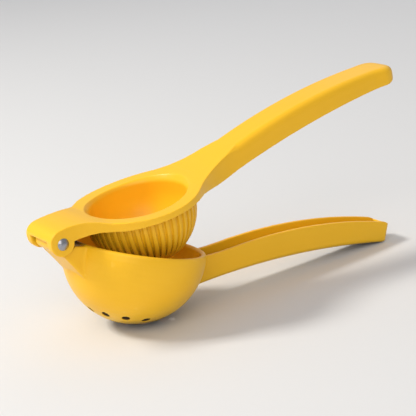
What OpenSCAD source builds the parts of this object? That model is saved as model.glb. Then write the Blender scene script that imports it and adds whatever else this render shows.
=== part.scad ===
// Hinged lemon squeezer: a bowl lever, a press lever with a fluted cup, and the rivet they turn on.
// Millimetres. The origin is the point of the table under the resting bowl, +X runs along the
// handles, +Y across them and +Z is up. The levers stand open, the bowl lever resting on the
// underside of its bowl and on the tip of its handle.

/* [Stance] */
// angle the bowl lever leans towards its handle tip as it rests
bowl_lean = 17.75; // [10:0.01:25]
// angle between the two levers as they stand
open_angle = 25.8; // [8:0.1:60]

/* [Bowl] */
// outer radius of the round bowl
bowl_r = 37; // [34:0.5:42]
// thickness of the bowl wall
bowl_wall = 2.8; // [2:0.1:4]
// height of the rim above the centre of the sphere
rim_rise = 4.3; // [1:0.1:8]
// distance of the bowl axis from the hinge
bowl_reach = 49.2; // [47:0.1:54]
// height of the hinge above the rim
hinge_rise = 0.05; // [0:0.01:1]
// diameter of one drain hole
drain_d = 4; // [3:0.1:5]

/* [Press cup] */
// radius of the round cup over its flutes
cup_r = 29; // [28:0.1:31]
// depth of the cup below the hinge
cup_depth = 34.6; // [30:0.1:38]
// thickness of the cup wall in the grooves between the flutes
cup_wall = 2.5; // [2:0.1:4]
// number of flutes round the cup
flutes = 46; // [30:2:48]
// height of one flute
flute_rise = 1.3; // [0.6:0.1:1.5]
// width of one flute
flute_w = 2.1; // [1.4:0.1:2.6]
// radius of the plain dome that the flutes run out on
cup_dome_r = 17.5; // [16:0.5:20]
// radius of the rounded lip of the mouth
lip_r = 3; // [2:0.1:4]
// depth below the hinge at which the lip starts
lip_drop = 1.7; // [1:0.1:3]
// angle that the lip flares from upright
lip_flare = 37; // [20:1:50]

/* [Collar] */
// outer radius of the collar round the mouth
collar_r = 33.9; // [32:0.1:35]
// distance of the cup axis from the hinge
cup_reach = 51.5; // [50:0.1:54]
// depth of the underside of the collar below the hinge
collar_drop = 2.7; // [2.2:0.1:4]
// radius of the sweep from the neck to the collar
neck_sweep = 32; // [20:1:45]
// radius of the sweep from the collar to the handle
grip_sweep = 52; // [30:1:65]

/* [Hinge] */
// width over the two ears
hinge_w = 26.4; // [25:0.1:29]
// radius of the ears round the rivet
ear_r = 6.3; // [6:0.1:7]
// thickness of one ear
ear_t = 4.5; // [3:0.1:6]
// width of the tongue between the ears
tongue_w = 14.4; // [10:0.1:16]
// radius of the tongue round the rivet
knuckle_r = 4.6; // [4:0.1:5]
// diameter of the rivet shank
rivet_d = 4; // [3:0.1:4.5]
// diameter of the domed rivet heads
head_d = 6.1; // [5.5:0.1:7]
// height of the domed rivet heads
head_h = 1.3; // [0.8:0.1:1.8]
// width of the web under the hinge
web_w = 22.4; // [20:0.1:26]
// slope of the front of the web
web_slope = 37.3; // [30:0.1:42]

/* [Handles] */
// width of the press lever's handle
grip_w = 22; // [18:0.1:24]
// distance of the press lever's tip from the hinge
grip_reach = 223.3; // [215:0.1:235]
// wall thickness of the press lever's handle
grip_wall = 2.2; // [1.8:0.1:2.6]
// radius of the upper edges of the press lever's handle
grip_edge = 4; // [2.8:0.1:5]
// width of the bowl lever's handle
channel_w = 15.3; // [13:0.1:17]
// distance of the bowl lever's tip from the hinge
channel_reach = 213.2; // [200:0.1:220]
// wall thickness of the bowl lever's handle
channel_wall = 2; // [1.6:0.1:2.4]
// radius of the lower edges of the bowl lever's handle
channel_edge = 3; // [2.2:0.1:4]

/* [Hidden] */

// radial gap between the rivet and its bores
run_gap = 0.04;
// gap between the rivet heads and the ears
head_gap = 0.05;
// gap swept free round the ears and round the tongue
turn_gap = 0.3;
// largest distance between a traced arc and its chord
chord_gap = 0.04;
// overlap that joins two forms
lap = 0.6;
// least web of metal between the hinge room and the mouth
bridge = 4.2;

pin_r = rivet_d / 2;
bowl_in_r = bowl_r - bowl_wall;
sphere_z = -hinge_rise - rim_rise;
rim_r = sqrt(bowl_r * bowl_r - rim_rise * rim_rise);
pin_x = -bowl_reach * cos(bowl_lean) - sphere_z * sin(bowl_lean);
pin_z = bowl_r + bowl_reach * sin(bowl_lean) - sphere_z * cos(bowl_lean);
grip_half = grip_w / 2;
groove_r = cup_r - flute_rise;
mouth_r = groove_r - cup_wall;
ball_z = cup_r - cup_depth;
// height under which the bottom of the cup is plain, and how far it lies under the flutes
dome_z = ball_z - sqrt(pow(cup_r, 2) - pow(cup_dome_r, 2));
dome_sink = 0.15;
// rings of drain holes: [distance from the bowl axis, count, turn in steps]
drain_rings = [[0, 1, 0], [10.5, 6, 0.5], [20.2, 12, 0]];

// A path is a start [x, z, heading] and a list of arcs [radius, turn]; [length, 0] is a straight.
// top of the press lever, from the front of the ears over the collar to the root of the grip
plate_start = [-ear_r, 0, 90];
plate_arcs = [[1.5, 0], [5.3, -63], [9, -23.5], [50, -26.5], [12, 15], [191.7, 21.75]];
grip_arc = [362, -20];
// underside of the press lever, from the ears under the collar to the tip
under_start = [4.6, -0.8, 0];
under_sweep = 41;
under_turn = acos(1 - (collar_drop + under_start[1]) / (2 * under_sweep));
under_arcs = [
    [9, 0],
    [under_sweep, -under_turn],
    [under_sweep, under_turn],
    [38, 0],
    [60, -12.5],
    [52, 23.4],
    [557, -12.25]
];
// top edge and sole of the bowl lever's handle
channel_start = [81.5, -5.1, 9.3];
channel_arcs = [[116, 11.5], [302, -20.4]];
sole_start = [83.5, -21.2, 21.2];
sole_arc = [464, -16];
// foot of the web's front, where the tongue runs into it
web_front = [3, -7.05];

function walk(s, arc, part = 1) = arc[1] == 0
    ? [s[0] + part * arc[0] * cos(s[2]), s[1] + part * arc[0] * sin(s[2]), s[2]]
    : let (side = sign(arc[1]), to = s[2] + part * arc[1])
      [s[0] + side * arc[0] * (sin(to) - sin(s[2])),
       s[1] - side * arc[0] * (cos(to) - cos(s[2])),
       to];

function after(s, arcs, count) = count == 0 ? s : walk(after(s, arcs, count - 1), arcs[count - 1]);

function chords(arc) = arc[1] == 0 ? 1 : ceil(abs(arc[1]) / (2 * acos(1 - chord_gap / arc[0])));

function trace(s, arcs) = [
    for (i = [0 : len(arcs) - 1])
        let (from = after(s, arcs, i), count = chords(arcs[i]))
            for (k = [(i == 0 ? 0 : 1) : count])
                let (p = walk(from, arcs[i], k / count))
                    [p[0], p[1]]
];

// centre of a downward turning arc
function arc_centre(s, arc) = [s[0] + arc[0] * sin(s[2]), s[1] - arc[0] * cos(s[2])];

// angle of the radius of a downward turning arc where it passes x
function angle_at(centre, radius, x) = acos((x - centre[0]) / radius);

// height of a downward turning arc where it passes x
function height_at(centre, radius, x) = centre[1] + sqrt(pow(radius, 2) - pow(x - centre[0], 2));

// distance from the cup axis, along the lever, at which a sweep meets a straight side at y
function sweep_end(y, r) = sqrt(pow(collar_r + r, 2) - pow(y + r, 2));

grip_r = grip_arc[0];
grip_start = after(plate_start, plate_arcs, len(plate_arcs));
grip_centre = arc_centre(grip_start, grip_arc);
sole_r = sole_arc[0];
sole_centre = arc_centre(sole_start, sole_arc);

// extrudes a side profile drawn in X and Z to a width centred on the lever
module across(width) {
    rotate([90, 0, 0])
        linear_extrude(height = width, center = true)
            children();
}

// sweeps a section drawn as [radius, width] round an axis across the lever, between two angles
module sweep(centre, from, to) {
    translate([centre[0], 0, centre[1]])
        rotate([90, 0, 0])
            rotate([0, 0, from])
                rotate_extrude(angle = to - from, $fn = 360)
                    children();
}

// section of a bar between two radii, with rounded corners at the outer face
module bar_section(face, back, width, edge) {
    corner = face - sign(face - back) * edge;
    translate([min(corner, back), -width / 2])
        square([abs(corner - back), width]);
    translate([min(face, back), edge - width / 2])
        square([abs(face - back), width - 2 * edge]);
    for (side = [-1, 1])
        translate([corner, side * (width / 2 - edge)])
            circle(edge, $fn = 24);
}

// ---- bowl lever ----

// solid bowl with a rounded rim
module bowl_outer() {
    lip = bowl_wall / 2;
    rotate_extrude($fn = 96)
        polygon(concat(
            [[0, rim_rise - lip], [0, -bowl_r]],
            [for (a = [-85 : 5 : 0]) bowl_r * [cos(a), sin(a)]],
            [[rim_r, rim_rise - lip]],
            [for (a = [20 : 20 : 160]) [rim_r - lip * (1 - cos(a)), rim_rise - lip * (1 - sin(a))]],
            [[rim_r - bowl_wall, rim_rise - lip]]
        ));
}

// hollow of the bowl, upright above the widest part of its sphere
module bowl_inner() {
    above = rim_rise + 8;
    rotate_extrude($fn = 96)
        polygon(concat(
            [[0, above], [0, -bowl_in_r]],
            [for (a = [-85 : 5 : 0]) bowl_in_r * [cos(a), sin(a)]],
            [[rim_r - bowl_wall, rim_rise - bowl_wall / 2], [rim_r - bowl_wall, above]]
        ));
}

module drain_holes() {
    for (ring = drain_rings)
        for (i = [0 : ring[1] - 1])
            rotate([0, 0, (i + ring[2]) * 360 / ring[1]])
                translate([ring[0], 0, -bowl_r - 1])
                    cylinder(h = bowl_r, d = drain_d, $fn = 24);
}

// handle of the bowl lever, a channel open at the top
module channel() {
    from = angle_at(sole_centre, sole_r, channel_reach + 3);
    to = angle_at(sole_centre, sole_r, bowl_reach + 32);
    difference() {
        intersection() {
            sweep(sole_centre, from, to)
                bar_section(sole_r, sole_r + 30, channel_w, channel_edge);
            across(channel_w + 4)
                channel_side();
            channel_plan();
        }
        intersection() {
            sweep(sole_centre, from, to)
                bar_section(sole_r + channel_wall, sole_r + 40, channel_w - 2 * channel_wall,
                    channel_edge - channel_wall / 2);
            translate([0, -channel_w, -60])
                cube([channel_reach - channel_wall, 2 * channel_w, 120]);
        }
    }
}

// everything under the top edge of the channel, with the rounded lower corner of its tip
module channel_side() {
    corner = 5;
    top = after(channel_start, channel_arcs, len(channel_arcs));
    foot_z = height_at(sole_centre, sole_r, channel_reach - corner);
    polygon(concat(
        trace(channel_start, channel_arcs),
        [[channel_reach, top[1] - 1]],
        [for (a = [0 : -15 : -90])
            [channel_reach - corner * (1 - cos(a)), foot_z + corner * (1 + sin(a))]],
        [[channel_reach - 2 * corner, foot_z - lap], [channel_start[0], sole_start[1] - 8]]
    ));
}

// outline of the channel from above, with the rounded corners of its tip
module channel_plan() {
    corner = 3.5;
    translate([0, 0, -60])
        linear_extrude(height = 120) {
            translate([bowl_reach, -channel_w / 2 - 1])
                square([channel_reach - bowl_reach - corner, channel_w + 2]);
            translate([bowl_reach, corner - channel_w / 2])
                square([channel_reach - bowl_reach, channel_w - 2 * corner]);
            for (side = [-1, 1])
                translate([channel_reach - corner, side * (channel_w / 2 - corner)])
                    circle(corner, $fn = 32);
        }
}

// web that runs from the wall of the bowl up under the ears
module web_side() {
    inside = bowl_reach - bowl_in_r + 7.5;
    difference() {
        polygon([
            web_front,
            [web_front[0], -5],
            [6, -3.2],
            [8, -1.1],
            [inside, -0.55],
            [inside, web_front[1] - (inside - web_front[0]) * tan(web_slope)]
        ]);
        circle(ear_r + turn_gap, $fn = 96);
    }
}

// tongue that the rivet passes through, with a squared nose
module tongue_side() {
    front = 200;
    back = 60;
    root = bowl_reach - bowl_r - 0.7;
    circle(knuckle_r, $fn = 64);
    polygon([
        knuckle_r * [cos(back), sin(back)],
        knuckle_r * [cos(front), sin(front)],
        [-3.8, -3.3],
        [-2.5, -4.6],
        web_front,
        [root - 3.5, -10],
        [root, -8],
        [root, -1.4]
    ]);
}

module bowl_lever() {
    color("#F0B933")
        difference() {
            union() {
                translate([bowl_reach, 0, sphere_z])
                    bowl_outer();
                channel();
                across(web_w)
                    web_side();
                across(tongue_w)
                    tongue_side();
            }
            translate([bowl_reach, 0, sphere_z]) {
                bowl_inner();
                drain_holes();
            }
            across(tongue_w + 2)
                circle(pin_r + run_gap, $fn = 48);
        }
}

// ---- press lever ----

// fills the corner between the collar and a straight side at y, swept by a circle of radius r
module sweep_corner(y, r, way) {
    centre_x = cup_reach + way * sweep_end(y, r);
    touch = [cup_reach, 0] + collar_r / (collar_r + r) * [centre_x - cup_reach, y + r];
    difference() {
        polygon([[cup_reach, 0], [centre_x, 0], [centre_x, y], touch]);
        translate([centre_x, y + r])
            circle(r, $fn = 180);
    }
}

// outline of the ears, the neck, the collar and the root of the grip from above
module lever_plan() {
    translate([cup_reach, 0])
        circle(collar_r, $fn = 144);
    translate([-ear_r - 1, -hinge_w / 2])
        square([cup_reach, hinge_w]);
    translate([cup_reach, -grip_half])
        square([sweep_end(grip_half, grip_sweep), grip_w]);
    for (side = [0, 1])
        mirror([0, side]) {
            sweep_corner(hinge_w / 2, neck_sweep, -1);
            sweep_corner(grip_half, grip_sweep, 1);
        }
}

// everything above the underside of the press lever, closed by the rounded tip
module above_underside() {
    tip_r = 8;
    top = 60;
    tip_z = height_at(grip_centre, grip_r, grip_reach - tip_r);
    polygon(concat(
        [[plate_start[0] - 1, top], [plate_start[0] - 1, 0], [0, 0]],
        trace(under_start, under_arcs),
        [for (a = [10 : 12.5 : 85])
            [grip_reach - tip_r * (1 - cos(a)), tip_z + 0.2 - tip_r * (1 - sin(a))]],
        [[grip_reach - tip_r, top]]
    ));
}

// everything under the top of the collar and of the root of the grip
module under_top() {
    root = [grip_arc[0], -4];
    polygon(concat(
        [[plate_start[0], -20]],
        trace(plate_start, concat(plate_arcs, [root])),
        [[walk(grip_start, root)[0], -20]]
    ));
}

// cuts the square edges of the root away where they run out on the rounded edges of the grip
module edge_run_out() {
    run_out = 14;
    root_x = cup_reach + sweep_end(grip_half, grip_sweep);
    for (side = [-1, 1])
        translate([root_x, side * (grip_half - grip_edge), height_at(grip_centre, grip_r - grip_edge, root_x)])
            rotate([0, -grip_start[2], 0])
                rotate([side * -45, 0, 0])
                    rotate([0, run_out, 0])
                        translate([-run_out, -2 * grip_edge, grip_edge])
                            cube([3 * run_out, 4 * grip_edge, 2 * grip_edge]);
}

// bar of the grip with a half round end, set back by a wall on every side but the underside
module grip_bar(wall, root_x) {
    face = grip_r - wall;
    back = grip_r - 40;
    width = grip_w - 2 * wall;
    edge = grip_edge - wall * 0.9;
    end = angle_at(grip_centre, grip_r, grip_reach - grip_half);
    sweep(grip_centre, end, angle_at(grip_centre, grip_r, root_x))
        bar_section(face, back, width, edge);
    translate([grip_centre[0], 0, grip_centre[1]])
        rotate([0, 90 - end, 0])
            rotate_extrude($fn = 96)
                intersection() {
                    rotate(90)
                        bar_section(face, back, width, edge);
                    translate([0, back])
                        square([width, face - back]);
                }
}

// ears, collar and grip of the press lever, without its cup
module lever_body() {
    intersection() {
        translate([0, 0, -20])
            linear_extrude(height = 60)
                lever_plan();
        difference() {
            across(3 * collar_r) {
                intersection() {
                    under_top();
                    above_underside();
                }
                circle(ear_r, $fn = 96);
            }
            edge_run_out();
        }
    }
    intersection() {
        grip_bar(0, grip_start[0] - 16);
        across(2 * grip_w)
            above_underside();
    }
}

// room between the ears for the tongue, open at the nose and underneath
module hinge_room() {
    depth = -12;
    end = cup_reach - mouth_r - lip_r - bridge;
    across(hinge_w - 2 * ear_t) {
        circle(knuckle_r + 1.5 * turn_gap, $fn = 64);
        polygon([
            [-ear_r - 2, depth],
            [-ear_r - 2, 2.4],
            [-ear_r, 2.4],
            [-ear_r / 2, 3.7],
            [0, 3.7],
            [0, depth]
        ]);
        polygon([
            [0, knuckle_r + turn_gap],
            [end - 8.5, 3.6],
            [end - 1.5, 2],
            [end, 0],
            [end, depth],
            [0, depth]
        ]);
    }
}

// part of the cup's ball between two heights, sunk by a depth
module cup_ball(sink, bottom, top) {
    intersection() {
        translate([0, 0, ball_z])
            sphere(cup_r - sink, $fn = 2 * flutes);
        translate([-cup_r, -cup_r, bottom])
            cube([2 * cup_r, 2 * cup_r, top - bottom]);
    }
}

// one flute and the one across the cup from it
module flute_pair() {
    difference() {
        intersection() {
            cup_ball(0, dome_z - lap / 2, -1);
            translate([-cup_r, -flute_w / 2, -cup_depth])
                cube([2 * cup_r, flute_w, cup_depth]);
        }
        translate([0, 0, ball_z])
            sphere(groove_r - lap, $fn = 2 * flutes);
    }
}

module cup_outer() {
    cup_ball(flute_rise, -cup_depth, -1);
    cup_ball(dome_sink, -cup_depth, dome_z);
    for (i = [0 : flutes / 2 - 1])
        rotate([0, 0, i * 360 / flutes])
            flute_pair();
}

// hollow of the cup, upright above the widest part of its ball and flared at the lip
module cup_inner() {
    above = 14;
    lip_edge = [mouth_r + lip_r * (1 - cos(lip_flare)), lip_r * sin(lip_flare) - lip_drop];
    cup_ball(cup_r - mouth_r, -cup_depth, ball_z);
    rotate_extrude($fn = 72)
        polygon(concat(
            [[0, above], [0, ball_z - lap], [mouth_r - lap, ball_z - lap], [mouth_r, ball_z]],
            [for (k = [0 : 3])
                let (a = lip_flare * k / 3)
                    [mouth_r + lip_r * (1 - cos(a)), lip_r * sin(a) - lip_drop]],
            [[lip_edge[0] + (above - lip_edge[1]) * tan(lip_flare), above]]
        ));
}

module press_lever() {
    color("#FEDC68")
        difference() {
            union() {
                lever_body();
                translate([cup_reach, 0, 0])
                    cup_outer();
            }
            translate([cup_reach, 0, 0])
                cup_inner();
            grip_bar(grip_wall, cup_reach + cup_r + 6);
            hinge_room();
            across(hinge_w + 2)
                circle(pin_r + run_gap, $fn = 48);
        }
}

// ---- rivet ----

// half of the rivet, from the middle of its shank to its domed head
module rivet_half() {
    steps = 8;
    dome_r = (pow(head_d / 2, 2) + pow(head_h, 2)) / (2 * head_h);
    face = hinge_w / 2 + head_gap;
    rotate_extrude($fn = 48)
        polygon(concat(
            [[0, 0], [pin_r, 0], [pin_r, face], [head_d / 2, face]],
            [for (k = [1 : steps - 1])
                let (a = asin(head_d / 2 / dome_r) * (1 - k / steps))
                    [dome_r * sin(a), face + head_h - dome_r * (1 - cos(a))]],
            [[0, face + head_h]]
        ));
}

module hinge_rivet() {
    color("#949497")
        rotate([90, 0, 0])
            for (side = [0, 1])
                mirror([0, 0, side])
                    rivet_half();
}

// puts a lever, drawn with the hinge as its origin, in its place at an angle of lean
module at_hinge(lean) {
    translate([pin_x, 0, pin_z])
        rotate([0, lean, 0])
            children();
}

at_hinge(bowl_lean) bowl_lever();
at_hinge(bowl_lean - open_angle) press_lever();
at_hinge(bowl_lean - open_angle) hinge_rivet();
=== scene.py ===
"""Hinged lemon squeezer: two enamelled castings on one rivet, set on a pale studio floor."""

import logging
import math
from dataclasses import dataclass, field
from enum import Enum

import bpy
from mathutils import Matrix, Vector


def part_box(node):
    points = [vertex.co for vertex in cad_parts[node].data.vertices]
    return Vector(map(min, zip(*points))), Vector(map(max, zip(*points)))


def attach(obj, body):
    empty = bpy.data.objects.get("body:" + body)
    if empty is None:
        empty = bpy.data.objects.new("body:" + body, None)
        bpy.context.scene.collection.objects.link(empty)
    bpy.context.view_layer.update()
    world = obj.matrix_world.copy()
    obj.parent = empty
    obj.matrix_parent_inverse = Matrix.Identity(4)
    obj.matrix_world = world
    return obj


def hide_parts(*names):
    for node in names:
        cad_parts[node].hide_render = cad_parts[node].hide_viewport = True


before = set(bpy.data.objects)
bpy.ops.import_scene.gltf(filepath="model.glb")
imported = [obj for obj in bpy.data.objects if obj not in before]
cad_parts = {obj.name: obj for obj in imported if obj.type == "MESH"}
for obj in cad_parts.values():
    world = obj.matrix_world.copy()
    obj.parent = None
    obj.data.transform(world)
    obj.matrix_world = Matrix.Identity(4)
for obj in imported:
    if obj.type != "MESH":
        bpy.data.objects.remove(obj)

logging.basicConfig(level=logging.INFO, format="%(name)s: %(message)s")
LOG = logging.getLogger("squeezer")

Colour = tuple[float, float, float, float]
Place = tuple[float, float, float]

MM = 0.001
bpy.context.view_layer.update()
# marks the walls of the drain holes, which are painted dark brown as painted shadow
DRAIN_SHADE_MARK = "drain"
# distance under which two points of a seam are one, and strength of one round of smoothing
SEAM_MM = 0.001
SMOOTHING = 0.5
# sockets of the colour form of the Mix node, which have no names of their own
MIX_FACTOR, MIX_A, MIX_B, MIX_RESULT = 0, 6, 7, 2


def srgb(hex_colour: str, alpha: float = 1.0) -> Colour:
    """Turns an sRGB hex value into linear colour.

    Args:
        hex_colour: Six hex digits, with or without a leading hash.
        alpha: Opacity of the returned colour.

    Returns:
        Linear red, green, blue and alpha.
    """
    digits = hex_colour.lstrip("#")
    channels = [int(digits[i : i + 2], 16) / 255 for i in (0, 2, 4)]
    linear = [c / 12.92 if c <= 0.04045 else ((c + 0.055) / 1.055) ** 2.4 for c in channels]
    return (linear[0], linear[1], linear[2], alpha)


def select_only(piece: bpy.types.Object) -> None:
    """Makes one object the only selected one, and the active one."""
    bpy.ops.object.select_all(action="DESELECT")
    piece.select_set(True)
    bpy.context.view_layer.objects.active = piece


def apply_modifier(piece: bpy.types.Object, name: str, kind: str, **settings: object) -> None:
    """Adds a modifier to the active piece, sets it up and applies it.

    Args:
        piece: The piece, which is the active object.
        name: Name of the modifier.
        kind: Blender's type name of the modifier.
        settings: Properties of the modifier.
    """
    modifier = piece.modifiers.new(name, kind)
    for key, value in settings.items():
        setattr(modifier, key, value)
    bpy.ops.object.modifier_apply(modifier=modifier.name)


# ---- materials ----


class Graph:
    """The node tree of one material, built a node at a time."""

    def __init__(self, name: str) -> None:
        """Starts an empty material with only its output node."""
        self.material = bpy.data.materials.new(name)
        self.material.use_nodes = True
        self.tree = self.material.node_tree
        self.tree.nodes.clear()
        self.output = self.tree.nodes.new("ShaderNodeOutputMaterial")

    def add(self, kind: str, inputs: dict | None = None, **settings: object) -> bpy.types.Node:
        """Adds a node, sets it up and links what feeds it.

        Args:
            kind: Blender's type name of the node.
            inputs: A value, or the socket to link, for each input by name or number.
            settings: Properties of the node itself.

        Returns:
            The new node.
        """
        node = self.tree.nodes.new(kind)
        for name, value in settings.items():
            setattr(node, name, value)
        for key, value in (inputs or {}).items():
            if isinstance(value, bpy.types.NodeSocket):
                self.tree.links.new(value, node.inputs[key])
            else:
                node.inputs[key].default_value = value
        return node

    def noise(self, place: bpy.types.NodeSocket, size_mm: float, **inputs: float) -> bpy.types.Node:
        """Adds a noise whose patches are about as large as a real size."""
        return self.add("ShaderNodeTexNoise", {"Vector": place, "Scale": 1 / (size_mm * MM), **inputs})

    def spread(
        self, value: bpy.types.NodeSocket, middle: float, swing: float, lowest: float = 0.0
    ) -> bpy.types.NodeSocket:
        """Maps a value that ends at 1 onto a small range.

        Args:
            value: The value to map.
            middle: Middle of the range.
            swing: How far the range reaches to each side.
            lowest: Where the value starts.

        Returns:
            The mapped value.
        """
        ends = {"From Min": lowest, "To Min": middle - swing, "To Max": middle + swing}
        return self.add("ShaderNodeMapRange", {"Value": value, **ends}).outputs["Result"]

    def finish(self, shader: bpy.types.NodeSocket) -> bpy.types.Material:
        """Links the last shader to the output and hands back the material."""
        self.tree.links.new(shader, self.output.inputs["Surface"])
        return self.material


@dataclass(frozen=True)
class BakedEnamel:
    """Satin enamel sprayed on a casting and baked.

    It gives a broad soft sheen over a faint orange peel. Creases are a little deeper and edges a
    little
    paler: partly a thicker and thinner coat, partly painted shade and a painted highlight. Hemmed-in
    places get painted shade, and the walls of the drain holes are painted dark brown as painted
    shadow, so that both read dark under even light. That is a choice for the eye: the coat itself
    doesn't change there.
    """

    name: str = "enamel_sprayed_and_baked"
    body: str = "#FBC126"
    # crease and edge colours: partly coat depth, partly painted shade in creases and a painted
    # highlight on edges
    crease_coat_and_shade: str = "#F8BE22"
    edge_coat_and_highlight: str = "#FDC636"
    # painted shade of hemmed-in places, and the darkest painted shade, also used in the drain holes
    shaded: str = "#E9BC1E"
    darkest_painted_shade: str = "#3A2503"
    # how sharply a place bends: from a crease, over a flat, to an edge
    crease_bend: float = 0.44
    edge_bend: float = 0.56
    # how far a place looks round for what hems it in, and how open it is there, for the painted shade
    shade_reach_mm: float = 26.0
    shade_rays: int = 8
    darkest_shade_at: float = 0.03
    shaded_at: float = 0.22
    shade_starts: float = 0.15
    shade_ends: float = 0.8
    drift_mm: float = 32.0
    tone_swing: float = 0.03
    peel_mm: float = 1.4
    peel_depth_mm: float = 0.05
    peel_strength: float = 0.06
    roughness: float = 0.34
    roughness_swing: float = 0.03
    ior: float = 1.5
    gloss: float = 0.25

    def material(self) -> bpy.types.Material:
        """Builds the enamel."""
        graph = Graph(self.name)
        place = graph.add("ShaderNodeTexCoord").outputs["Object"]
        drift = graph.noise(place, self.drift_mm, Detail=2.0).outputs["Fac"]
        peel = graph.noise(place, self.peel_mm, Detail=1.0).outputs["Fac"]
        bump = graph.add(
            "ShaderNodeBump",
            {"Height": peel, "Strength": self.peel_strength, "Distance": self.peel_depth_mm * MM},
        )
        coat = graph.add(
            "ShaderNodeBsdfPrincipled",
            {
                "Base Color": self.drifting(graph, self.with_painted_shade(graph, self.bent(graph)), drift),
                "Roughness": graph.spread(drift, self.roughness, self.roughness_swing),
                "Normal": bump.outputs["Normal"],
                "IOR": self.ior,
                "Specular IOR Level": self.gloss,
            },
        )
        return graph.finish(coat.outputs["BSDF"])

    def bent(self, graph: Graph) -> bpy.types.NodeSocket:
        """Gives the colour that runs from creases over flats to edges: partly a deeper and paler coat,
        partly painted shade in creases and a painted highlight on edges.
        """
        bend = graph.add("ShaderNodeNewGeometry").outputs["Pointiness"]
        fill = graph.add(
            "ShaderNodeMapRange",
            {"Value": bend, "From Min": self.crease_bend, "From Max": self.edge_bend},
        )
        ramp = graph.add("ShaderNodeValToRGB", {"Fac": fill.outputs["Result"]})
        stops = ramp.color_ramp.elements
        stops[0].color = srgb(self.crease_coat_and_shade)
        stops[1].color = srgb(self.edge_coat_and_highlight)
        stops.new(0.5).color = srgb(self.body)
        return ramp.outputs["Color"]

    def with_painted_shade(self, graph: Graph, colour: bpy.types.NodeSocket) -> bpy.types.NodeSocket:
        """Paints shade into a colour in hemmed-in places and paints the walls of the drain holes dark.

        Args:
            graph: The tree of the material.
            colour: The colour of the open surface.

        Returns:
            The colour with its painted shade.
        """
        # painted shade: hemmed-in places are darkened by how open they are
        openness = graph.add(
            "ShaderNodeAmbientOcclusion", {"Distance": self.shade_reach_mm * MM}, samples=self.shade_rays
        ).outputs["AO"]
        ramp = graph.add("ShaderNodeValToRGB", {"Fac": openness})
        stops = ramp.color_ramp.elements
        stops[0].position = self.darkest_shade_at
        stops[0].color = srgb(self.darkest_painted_shade)
        stops[1].position = self.shaded_at
        stops[1].color = srgb(self.shaded)
        open_share = graph.add(
            "ShaderNodeMapRange",
            {"Value": openness, "From Min": self.shade_starts, "From Max": self.shade_ends},
        ).outputs["Result"]
        shade = self.mixed(graph, open_share, ramp.outputs["Color"], colour)
        # the walls of the drain holes are painted dark brown: painted shadow
        drain_shade = graph.add("ShaderNodeAttribute", attribute_name=DRAIN_SHADE_MARK).outputs["Fac"]
        return self.mixed(graph, drain_shade, shade, srgb(self.darkest_painted_shade))

    def drifting(
        self, graph: Graph, colour: bpy.types.NodeSocket, drift: bpy.types.NodeSocket
    ) -> bpy.types.NodeSocket:
        """Lets a colour get a little lighter and darker over the piece."""
        tone = graph.spread(drift, 1.0, self.tone_swing)
        return graph.add("ShaderNodeHueSaturation", {"Value": tone, "Color": colour}).outputs["Color"]

    def mixed(
        self,
        graph: Graph,
        factor: bpy.types.NodeSocket,
        first: bpy.types.NodeSocket | Colour,
        second: bpy.types.NodeSocket | Colour,
    ) -> bpy.types.NodeSocket:
        """Mixes two colours: the first where the factor is 0, the second where it is 1."""
        inputs = {MIX_FACTOR: factor, MIX_A: first, MIX_B: second}
        return graph.add("ShaderNodeMix", inputs, data_type="RGBA").outputs[MIX_RESULT]


@dataclass(frozen=True)
class TurnedSteel:
    """Bare steel turned on a lathe: bright, with fine rings round the rivet's own axis."""

    name: str = "steel_turned"
    body: str = "#A2A3A8"
    ring_mm: float = 0.35
    ring_depth_mm: float = 0.02
    ring_strength: float = 0.12
    roughness: float = 0.28
    roughness_swing: float = 0.05

    def material(self, axis_at: Vector) -> bpy.types.Material:
        """Builds the steel.

        Args:
            axis_at: A point on the rivet's axis, which runs along Y.

        Returns:
            The finished material.
        """
        graph = Graph(self.name)
        wave = self.rings(graph, axis_at)
        bump = graph.add(
            "ShaderNodeBump",
            {"Height": wave, "Strength": self.ring_strength, "Distance": self.ring_depth_mm * MM},
        )
        metal = graph.add(
            "ShaderNodeBsdfPrincipled",
            {
                "Base Color": srgb(self.body),
                "Metallic": 1.0,
                "Roughness": graph.spread(wave, self.roughness, self.roughness_swing, lowest=-1.0),
                "Normal": bump.outputs["Normal"],
            },
        )
        return graph.finish(metal.outputs["BSDF"])

    def rings(self, graph: Graph, axis_at: Vector) -> bpy.types.NodeSocket:
        """Gives a wave between -1 and 1 that runs out from the rivet's axis."""
        place = graph.add("ShaderNodeTexCoord").outputs["Object"]
        centred = graph.add(
            "ShaderNodeMapping", {"Vector": place, "Location": (-axis_at.x, 0.0, -axis_at.z)}
        )
        split = graph.add("ShaderNodeSeparateXYZ", {"Vector": centred.outputs["Vector"]})
        flat = graph.add("ShaderNodeCombineXYZ", {"X": split.outputs["X"], "Z": split.outputs["Z"]})
        radius = graph.add("ShaderNodeVectorMath", {0: flat.outputs["Vector"]}, operation="LENGTH")
        turns = graph.add(
            "ShaderNodeMath",
            {0: radius.outputs["Value"], 1: 2 * math.pi / (self.ring_mm * MM)},
            operation="MULTIPLY",
        )
        wave = graph.add("ShaderNodeMath", {0: turns.outputs["Value"]}, operation="SINE")
        return wave.outputs["Value"]


@dataclass(frozen=True)
class PaperSweep:
    """Matt coated paper, rolled out as the studio floor: pale and even, with hardly any grain."""

    name: str = "paper_matt_coated"
    body: str = "#E2E2E3"
    grain_mm: float = 4.0
    tone_swing: float = 0.005
    roughness: float = 0.8

    def material(self) -> bpy.types.Material:
        """Builds the paper."""
        graph = Graph(self.name)
        place = graph.add("ShaderNodeTexCoord").outputs["Object"]
        grain = graph.noise(place, self.grain_mm).outputs["Fac"]
        tone = graph.spread(grain, 1.0, self.tone_swing)
        colour = graph.add("ShaderNodeHueSaturation", {"Value": tone, "Color": srgb(self.body)})
        paper = graph.add(
            "ShaderNodeBsdfPrincipled",
            {"Base Color": colour.outputs["Color"], "Roughness": self.roughness},
        )
        return graph.finish(paper.outputs["BSDF"])


# ---- studio ----


class LampUse(Enum):
    """What a lamp of the studio is for."""

    KEY = "key"
    FILL = "fill"
    RIM = "rim"


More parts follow.
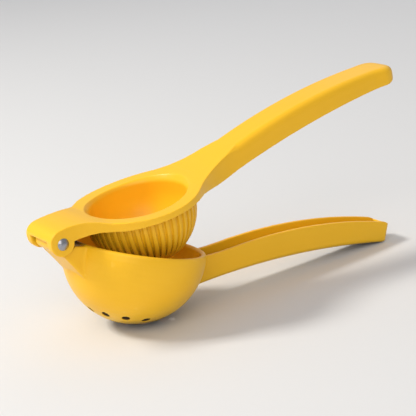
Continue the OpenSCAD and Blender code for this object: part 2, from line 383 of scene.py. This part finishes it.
@dataclass(frozen=True)
class Lamp:
    """One square lamp: where it hangs and its side in metres, its power in watts, its colour."""

    use: LampUse
    place: Place
    size: float
    power: float
    colour: str

    def hang(self, target: Place) -> None:
        """Hangs the lamp so that it faces a place."""
        name = f"lamp_{self.use.value}"
        light = bpy.data.lights.new(name, "AREA")
        light.size = self.size
        light.energy = self.power
        light.color = srgb(self.colour)[:3]
        lamp = bpy.data.objects.new(name, light)
        bpy.context.scene.collection.objects.link(lamp)
        lamp.location = self.place
        aim = Vector(target) - Vector(self.place)
        lamp.rotation_euler = aim.to_track_quat("-Z", "Y").to_euler()


@dataclass(frozen=True)
class Camera:
    """The camera: a place in metres, angles in degrees, a focal length in pixels of its frame."""

    place: Place = (-0.3335, -0.5984, 0.27)
    yaw: float = 32.45
    pitch: float = 17.38
    roll: float = -5.88
    focal_px: float = 1419
    frame_px: float = 416
    sensor_width_mm: float = 36.0
    nearest: float = 0.01

    def stand(self) -> None:
        """Stands the camera on the hinge side of the squeezer, a little above it."""
        data = bpy.data.cameras.new("camera")
        data.sensor_width = self.sensor_width_mm
        data.lens = self.sensor_width_mm * self.focal_px / self.frame_px
        data.clip_start = self.nearest
        camera = bpy.data.objects.new("camera", data)
        bpy.context.scene.collection.objects.link(camera)
        camera.matrix_world = Matrix.Translation(self.place) @ self.turn()
        bpy.context.scene.camera = camera

    def turn(self) -> Matrix:
        """Gives the rotation of the camera from its yaw, pitch and roll."""
        yaw, pitch, roll = (math.radians(angle) for angle in (self.yaw, self.pitch, self.roll))
        ahead = Vector(
            (math.sin(yaw) * math.cos(pitch), math.cos(yaw) * math.cos(pitch), -math.sin(pitch))
        )
        level = Vector((math.cos(yaw), -math.sin(yaw), 0.0))
        upright = level.cross(ahead)
        right = level * math.cos(roll) + upright * math.sin(roll)
        up = upright * math.cos(roll) - level * math.sin(roll)
        return Matrix((right, up, -ahead)).transposed().to_4x4()


@dataclass
class Studio:
    """Floor, lamps, room and camera."""

    floor_size: float = 6.0
    paper: PaperSweep = field(default_factory=PaperSweep)
    room_colour: str = "#F8FAFF"
    room_strength: float = 0.45
    lit_place: Place = (0.05, 0.0, 0.04)
    lamps: tuple[Lamp, ...] = (
        Lamp(LampUse.KEY, (-0.85, 0.6, 1.15), 0.34, 18.0, "#FFFBF2"),
        Lamp(LampUse.FILL, (-0.9, -1.1, 0.9), 1.2, 9.5, "#FFF9F0"),
        Lamp(LampUse.RIM, (0.9, 0.6, 0.8), 0.8, 0.8, "#FFFFFF"),
    )
    camera: Camera = field(default_factory=Camera)

    def build(self) -> None:
        """Sets up the whole studio."""
        self.lay_floor()
        self.light_room()
        for lamp in self.lamps:
            lamp.hang(self.lit_place)
        self.camera.stand()
        bpy.context.scene.view_settings.view_transform = "Standard"

    def lay_floor(self) -> None:
        """Lays the floor under the squeezer."""
        bpy.ops.object.select_all(action="DESELECT")
        bpy.ops.mesh.primitive_plane_add(size=self.floor_size, location=(0.0, 0.0, 0.0))
        floor = bpy.context.object
        floor.name = "studio_floor"
        floor.data.materials.append(self.paper.material())

    def light_room(self) -> None:
        """Gives the room a pale, even light."""
        world = bpy.data.worlds.new("studio_room")
        world.use_nodes = True
        room = world.node_tree.nodes["Background"]
        room.inputs["Color"].default_value = srgb(self.room_colour)
        room.inputs["Strength"].default_value = self.room_strength
        bpy.context.scene.world = world


# ---- shapes of the castings ----


@dataclass(frozen=True)
class Blend:
    """A place on a casting where its faces run into each other more softly than elsewhere."""

    name: str
    centre: Vector
    radius_mm: float
    rounds: int

    def apply(self, piece: bpy.types.Object) -> None:
        """Rounds the active piece here, at full strength out to half of the radius."""
        group = piece.vertex_groups.new(name=self.name)
        for vertex in piece.data.vertices:
            near = 1 - (vertex.co - self.centre).length / (self.radius_mm * MM)
            if near > 0:
                group.add([vertex.index], min(1.0, 2 * near), "REPLACE")
        apply_modifier(
            piece,
            self.name,
            "SMOOTH",
            vertex_group=group.name,
            factor=SMOOTHING,
            iterations=self.rounds,
        )
        piece.vertex_groups.clear()


@dataclass(frozen=True)
class Swell:
    """A handle's end that grows a little fuller than the rest, fading out along the handle."""

    about: Vector
    beyond_mm: float
    scale: Place
    fade_mm: float

    def apply(self, piece: bpy.types.Object) -> None:
        """Selects the end of the handle and scales it, with a soft fall-off."""
        select_only(piece)
        bpy.ops.object.mode_set(mode="EDIT")
        bpy.ops.mesh.select_mode(type="VERT")
        bpy.ops.mesh.select_all(action="DESELECT")
        bpy.ops.object.mode_set(mode="OBJECT")
        for vertex in piece.data.vertices:
            vertex.select = vertex.co.x > self.about.x + self.beyond_mm * MM
        bpy.ops.object.mode_set(mode="EDIT")
        bpy.ops.transform.resize(
            value=self.scale,
            center_override=self.about,
            use_proportional_edit=True,
            proportional_edit_falloff="SMOOTH",
            proportional_size=self.fade_mm * MM,
        )
        bpy.ops.object.mode_set(mode="OBJECT")


@dataclass
class Casting:
    """One enamelled lever: the machined solid with the soft edges of a coated casting.

    Places on a lever are given in millimetres from the hinge: along it, across it and above it.
    """

    node: str
    body: str
    piece_name: str
    lean: float
    grain_mm: float = 0.36
    rounds: int = 4
    most_triangles: int = 190_000

    def build(self, enamel: bpy.types.Material) -> bpy.types.Object:
        """Models the lever, dresses it and hands it to its body.

        Args:
            enamel: The finish of both levers.

        Returns:
            The finished piece.
        """
        piece = self.rough_casting()
        self.soften(piece)
        for form in self.forms():
            form.apply(piece)
        self.thin_out(piece)
        self.mark(piece)
        piece.data.materials.clear()
        piece.data.materials.append(enamel)
        select_only(piece)
        bpy.ops.object.shade_smooth()
        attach(piece, self.body)
        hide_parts(self.node)
        return piece

    def forms(self) -> list[Blend | Swell]:
        """Gives the places where this lever departs from an evenly softened solid."""
        return []

    def mark(self, piece: bpy.types.Object) -> None:
        """Marks places on the piece for painted shade in its finish, on a lever that has any."""

    def on_lever(self, along: float, across: float, above: float) -> Vector:
        """Gives the place in the frame of a point on this lever.

        Args:
            along: Millimetres along the lever from the hinge.
            across: Millimetres across it.
            above: Millimetres above it.

        Returns:
            The point in the frame, in metres.
        """
        low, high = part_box("hinge_rivet")
        hinge = (Vector(low) + Vector(high)) / 2
        turn = Matrix.Rotation(math.radians(self.lean), 3, "Y")
        return hinge + turn @ Vector((along, across, above)) * MM

    def rough_casting(self) -> bpy.types.Object:
        """Copies the solid into a new piece and closes its seams."""
        piece = bpy.data.objects.new(self.piece_name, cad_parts[self.node].data.copy())
        bpy.context.scene.collection.objects.link(piece)
        select_only(piece)
        bpy.ops.object.mode_set(mode="EDIT")
        bpy.ops.mesh.select_all(action="SELECT")
        bpy.ops.mesh.remove_doubles(threshold=SEAM_MM * MM)
        bpy.ops.object.mode_set(mode="OBJECT")
        return piece

    def soften(self, piece: bpy.types.Object) -> None:
        """Gives the piece an even skin of small faces and rounds its edges."""
        apply_modifier(piece, "skin", "REMESH", mode="VOXEL", voxel_size=self.grain_mm * MM)
        apply_modifier(piece, "soft_edges", "SMOOTH", factor=SMOOTHING, iterations=self.rounds)

    def thin_out(self, piece: bpy.types.Object) -> None:
        """Takes out the faces that flat stretches don't need."""
        triangles = sum(len(face.vertices) - 2 for face in piece.data.polygons)
        if triangles > self.most_triangles:
            apply_modifier(piece, "thin_out", "DECIMATE", ratio=self.most_triangles / triangles)


@dataclass
class BowlLever(Casting):
    """The lower lever: the drained bowl, its web up to the hinge and the open channel handle."""

    node: str = "bowl_lever"
    body: str = "bowl_lever"
    piece_name: str = "bowl_lever_casting"
    lean: float = 17.75
    bowl_radius_mm: float = 37.0
    bowl_wall_mm: float = 2.8
    skin_mm: float = 0.1
    drain_fade: float = 3
    web_foot: Place = (15, 12, -8)
    channel_end_above_mm: float = 6

    def forms(self) -> list[Blend | Swell]:
        """Gives the soft foot of the web on both sides and the rounded end of the channel."""
        along, across, above = self.web_foot
        handle_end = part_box(self.node)[1][0]
        channel_end = Vector((handle_end, 0.0, self.channel_end_above_mm * MM))
        return [
            Blend("web_near", self.on_lever(along, -across, above), radius_mm=11.0, rounds=60),
            Blend("web_far", self.on_lever(along, across, above), radius_mm=11.0, rounds=60),
            Blend("channel_end", channel_end, radius_mm=9.0, rounds=16),
        ]

    def mark(self, piece: bpy.types.Object) -> None:
        """Marks the walls of the drain holes, which lie inside the thickness of the bowl, for their
        painted shadow.
        """
        middle = Vector((0.0, 0.0, self.bowl_radius_mm * MM))
        marks = piece.data.attributes.new(DRAIN_SHADE_MARK, "FLOAT", "POINT")
        for vertex in piece.data.vertices:
            depth = self.bowl_radius_mm - (vertex.co - middle).length / MM
            inside = self.skin_mm < depth < self.bowl_wall_mm - self.skin_mm
            if vertex.co.z < middle.z / 2 and inside:
                marks.data[vertex.index].value = min(1.0, self.drain_fade * (depth - self.skin_mm))


@dataclass
class PressLever(Casting):
    """The upper lever: the fluted press cup in its collar, the two ears and the hollow handle."""

    node: str = "press_lever"
    body: str = "press_lever"
    piece_name: str = "press_lever_casting"
    lean: float = 17.75 - 25.8

    def forms(self) -> list[Blend | Swell]:
        """Gives the fuller, rounded end of the handle."""
        return [
            Swell(self.on_lever(212, 0, 9), beyond_mm=6.0, scale=(1.02, 1.14, 1.0), fade_mm=14.0),
            Blend("grip_end", self.on_lever(226, 0, 12), radius_mm=18.0, rounds=160),
        ]


@dataclass
class HingeRivet:
    """The solid rivet with a domed head at each end."""

    node: str = "hinge_rivet"

    def dress(self, steel: TurnedSteel) -> bpy.types.Object:
        """Gives the rivet its steel, ringed round its own axis."""
        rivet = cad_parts[self.node]
        low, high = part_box(self.node)
        rivet.data.materials.clear()
        rivet.data.materials.append(steel.material((low + high) / 2))
        return rivet


def main() -> None:
    """Builds the studio and every piece in order."""
    Studio().build()
    enamel = BakedEnamel().material()
    for casting in (BowlLever(), PressLever()):
        piece = casting.build(enamel)
        LOG.info("%s: %d faces", piece.name, len(piece.data.polygons))
    rivet = HingeRivet().dress(TurnedSteel())
    LOG.info("%s: dressed", rivet.name)


if __name__ == "__main__":
    main()
